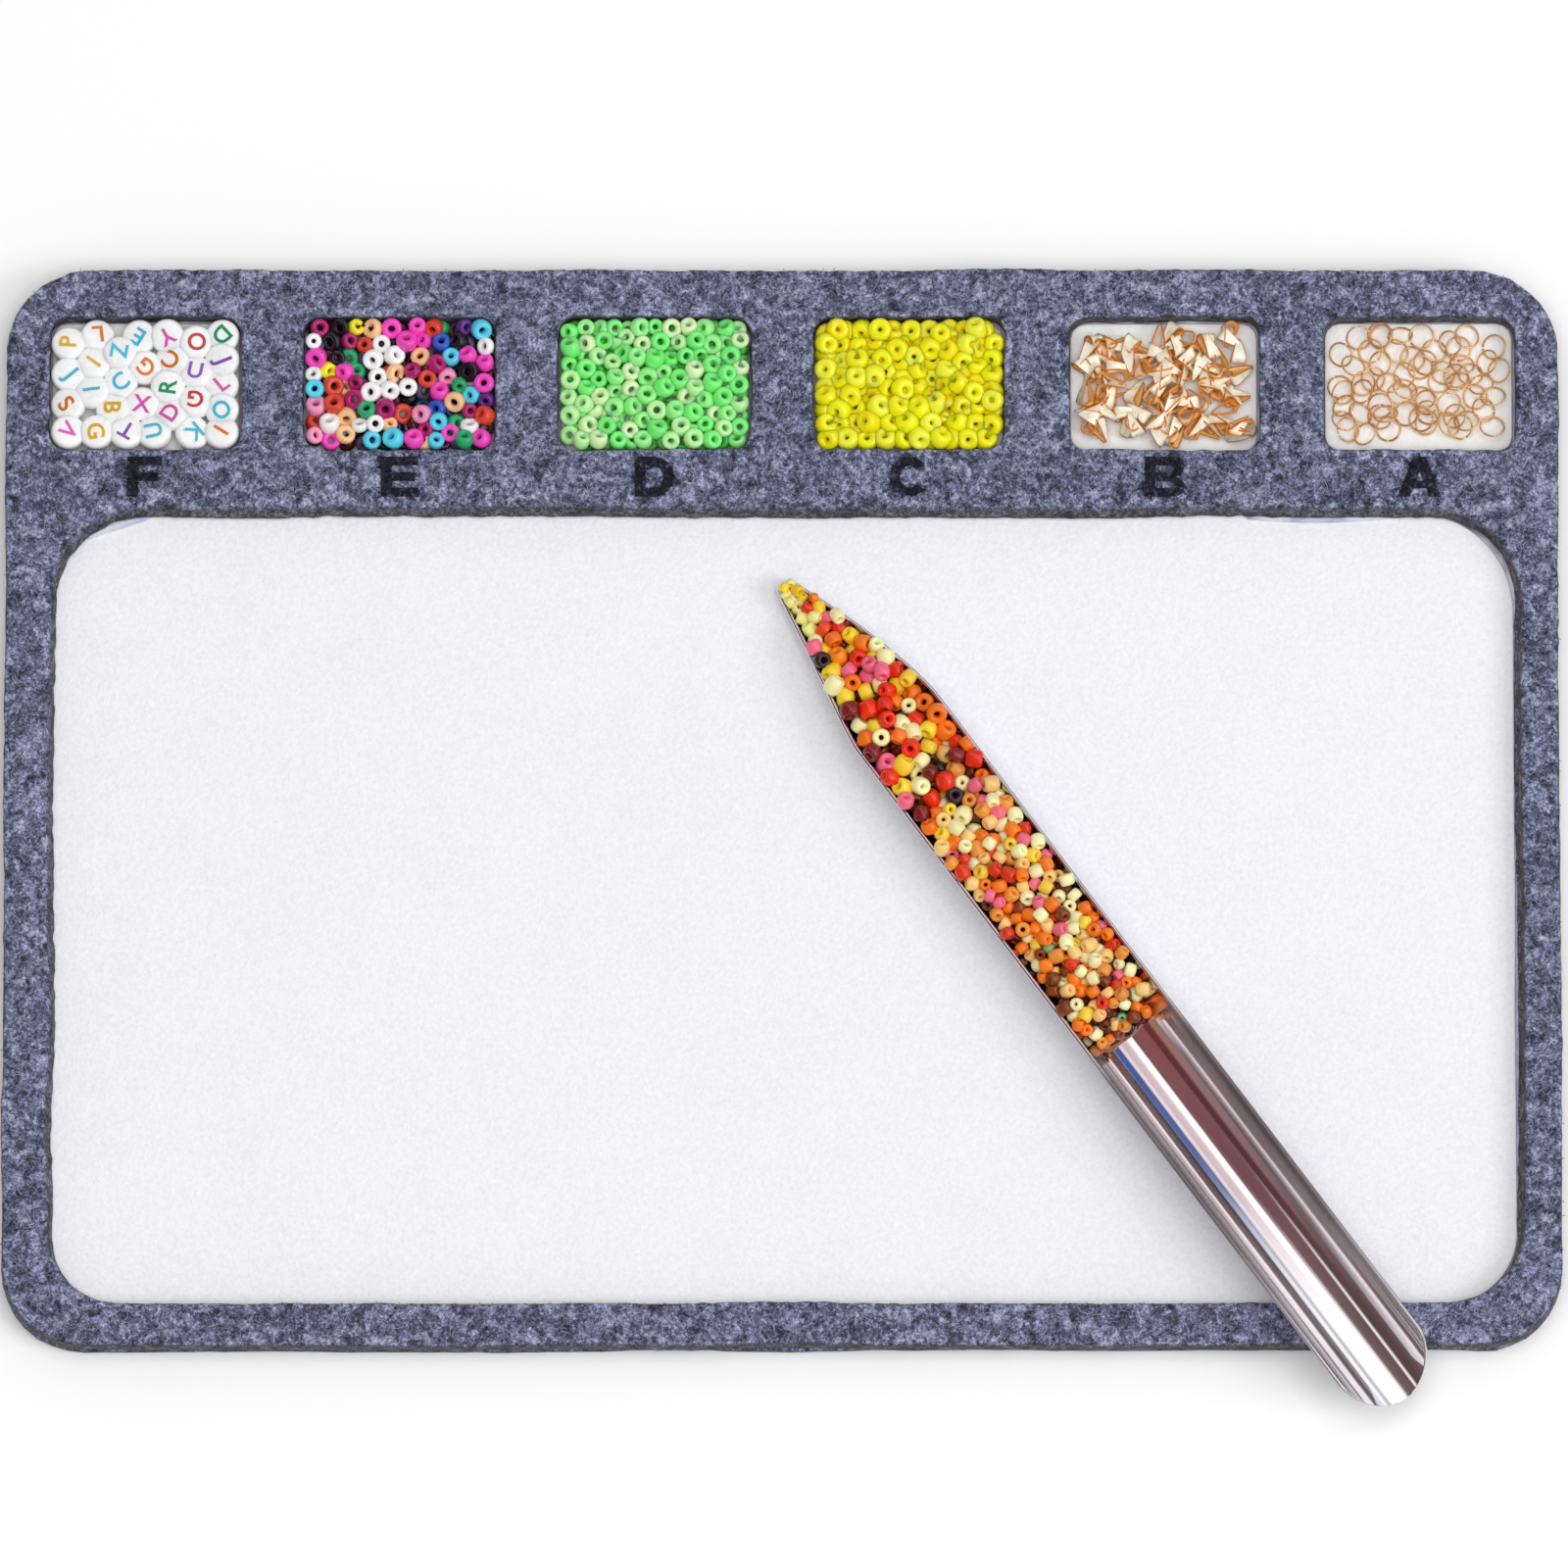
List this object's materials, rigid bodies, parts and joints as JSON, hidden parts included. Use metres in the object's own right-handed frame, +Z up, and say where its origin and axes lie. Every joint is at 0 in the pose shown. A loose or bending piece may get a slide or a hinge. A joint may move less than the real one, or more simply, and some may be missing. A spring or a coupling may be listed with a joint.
{
  "type": "bead mat",
  "caption": "Flat felt bead mat with a white work panel in a large window, a row of lettered wells holding beads and findings, and a metal gutter scoop.",
  "frame": {"origin": "centre of the mat's underside", "axes": "+Z up, +X along the row of wells towards well A, +Y from the work panel towards the wells"},
  "size_m": [0.32, 0.2398, 0.0178],
  "materials": {
    "felt": "blue-grey mottled wool felt, matt, fibrous",
    "film": "thin double-sided adhesive film, slightly shiny",
    "velour": "white short-pile velour with a fine soft grain",
    "letter_film": "black pressed-on flock letters, matt",
    "gold_wire": "copper-gold plated wire and strip, bright",
    "yellow_bead": "opaque bright yellow, glossy",
    "green_bead": "opaque light green, glossy",
    "mixed_bead": "opaque mixed colours, glossy",
    "white_bead": "white with coloured single letters, glossy",
    "warm_bead": "opaque mixed warm colours, glossy",
    "polished_steel": "mirror-polished stainless sheet"
  },
  "bodies": {
    "mat": {"base_felt": "felt", "adhesive_film": "film", "felt_frame": "felt", "work_panel": "velour", "well_pad_a": "velour", "well_pad_b": "velour", "well_pad_c": "velour", "well_pad_d": "velour", "well_pad_e": "velour", "well_pad_f": "velour", "letter_a": "letter_film", "letter_b": "letter_film", "letter_c": "letter_film", "letter_d": "letter_film", "letter_e": "letter_film", "letter_f": "letter_film"},
    "fill_a": {"jump_rings": "gold_wire"},
    "fill_b": {"folded_findings": "gold_wire"},
    "fill_c": {"yellow_beads": "yellow_bead"},
    "fill_d": {"green_beads": "green_bead"},
    "fill_e": {"mixed_beads": "mixed_bead"},
    "fill_f": {"letter_beads": "white_bead"},
    "scoop": {"scoop": "polished_steel"},
    "scoop_load": {"scoop_beads": "warm_bead"}
  },
  "joints": [
    {"name": "lift_fill_a", "type": "slide", "parent": "mat", "child": "fill_a", "axis": [0, 0, 1], "range_m": [0, 0.03]},
    {"name": "lift_fill_b", "type": "slide", "parent": "mat", "child": "fill_b", "axis": [0, 0, 1], "range_m": [0, 0.03]},
    {"name": "lift_fill_c", "type": "slide", "parent": "mat", "child": "fill_c", "axis": [0, 0, 1], "range_m": [0, 0.03]},
    {"name": "lift_fill_d", "type": "slide", "parent": "mat", "child": "fill_d", "axis": [0, 0, 1], "range_m": [0, 0.03]},
    {"name": "lift_fill_e", "type": "slide", "parent": "mat", "child": "fill_e", "axis": [0, 0, 1], "range_m": [0, 0.03]},
    {"name": "lift_fill_f", "type": "slide", "parent": "mat", "child": "fill_f", "axis": [0, 0, 1], "range_m": [0, 0.03]},
    {"name": "lift_scoop", "type": "slide", "parent": "mat", "child": "scoop", "axis": [0, 0, 1], "range_m": [0, 0.12]},
    {"name": "empty_scoop", "type": "slide", "parent": "scoop", "child": "scoop_load", "axis": [0, 0, 1], "range_m": [0, 0.04]}
  ]
}
